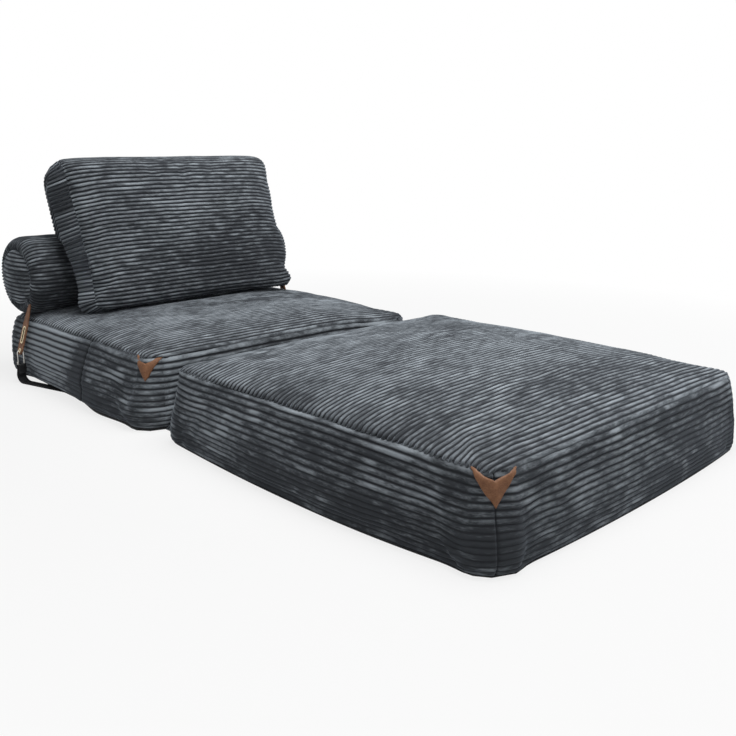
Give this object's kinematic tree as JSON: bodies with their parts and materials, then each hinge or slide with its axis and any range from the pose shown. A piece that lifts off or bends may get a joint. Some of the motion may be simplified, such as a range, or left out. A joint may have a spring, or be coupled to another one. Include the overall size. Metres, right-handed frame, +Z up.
{
  "type": "folding lounge chair",
  "caption": "Fold-out foam lounger in wide-rib corduroy: seat and foot blocks on a floor-level fold strip, a strapped bolster and a loose back pillow.",
  "frame": {"origin": "on the floor, at the middle of the open lounger's box", "axes": "+Z up, -Y towards the foot end, X across the width"},
  "size_m": [1.1048, 1.9563, 0.6559],
  "materials": {
    "corduroy": "wide-rib velvety corduroy, slate grey-blue",
    "base_cloth": "black woven base cloth",
    "foam": "open-cell foam",
    "filling": "soft fibre filling",
    "leather": "tan vegetable-tanned leather",
    "pale_gold": "polished pale-gold metal",
    "hook_steel": "polished steel",
    "webbing": "black woven webbing",
    "zip_tape": "dark zip tape and coil",
    "zip_metal": "dark gunmetal"
  },
  "bodies": {
    "seat_block": {"seat_foam_core": "foam", "seat_top_panel": "corduroy", "seat_side_band": "corduroy", "seat_base_panel": "base_cloth", "seat_zip": "zip_tape", "seat_corner_patches": "leather", "fold_strip_seat_half": "corduroy", "bolster_foam_core": "foam", "bolster_wrap": "corduroy", "bolster_end_cap_left": "corduroy", "bolster_end_cap_right": "corduroy", "bolster_zip": "zip_tape", "strap_left": "leather", "strap_right": "leather", "strap_rims_left": "pale_gold", "strap_rims_right": "pale_gold", "snap_hook_left": "hook_steel", "snap_hook_right": "hook_steel", "webbing_loop_left": "webbing", "webbing_loop_right": "webbing"},
    "foot_block": {"foot_foam_core": "foam", "foot_top_panel": "corduroy", "foot_side_band": "corduroy", "foot_base_panel": "base_cloth", "foot_zip": "zip_tape", "foot_corner_patch": "leather", "fold_strip_foot_half": "corduroy"},
    "pillow": {"pillow_filling": "filling", "pillow_front_panel": "corduroy", "pillow_rear_panel": "corduroy", "pillow_gusset": "corduroy", "pillow_zip": "zip_tape"},
    "seat_slider": {"seat_zip_slider": "zip_metal"},
    "foot_slider": {"foot_zip_slider": "zip_metal"},
    "bolster_slider": {"bolster_zip_slider": "zip_metal"},
    "pillow_slider": {"pillow_zip_slider": "zip_metal"},
    "gate_left": {"snap_hook_gate_left": "hook_steel"},
    "gate_right": {"snap_hook_gate_right": "hook_steel"}
  },
  "joints": [
    {"name": "foot_fold", "type": "hinge", "parent": "seat_block", "child": "foot_block", "pos_m": [0, 0.085, -0.00025], "axis": [1, 0, 0], "range_deg": [0, 180]},
    {"name": "pillow_lift", "type": "slide", "parent": "seat_block", "child": "pillow", "axis": [0, 0, 1], "range_m": [0, 0.25]},
    {"name": "seat_zip_run", "type": "slide", "parent": "seat_block", "child": "seat_slider", "axis": [1, 0, 0], "range_m": [-0.648, 0]},
    {"name": "foot_zip_run", "type": "slide", "parent": "foot_block", "child": "foot_slider", "axis": [1, 0, 0], "range_m": [-0.648, 0]},
    {"name": "bolster_zip_run", "type": "slide", "parent": "seat_block", "child": "bolster_slider", "axis": [1, 0, 0], "range_m": [-0.648, 0]},
    {"name": "pillow_zip_run", "type": "slide", "parent": "pillow", "child": "pillow_slider", "axis": [1, 0, 0], "range_m": [-0.448, 0]},
    {"name": "gate_left_open", "type": "hinge", "parent": "seat_block", "child": "gate_left", "pos_m": [-0.54626, 0.79415, 0.06287], "axis": [-0.2588, 0.9659, 0], "range_deg": [0, 20], "stiffness_Nm_per_rad": 0.004},
    {"name": "gate_right_open", "type": "hinge", "parent": "seat_block", "child": "gate_right", "pos_m": [0.54626, 0.79415, 0.06287], "axis": [-0.2588, -0.9659, 0], "range_deg": [0, 20], "stiffness_Nm_per_rad": 0.004}
  ]
}
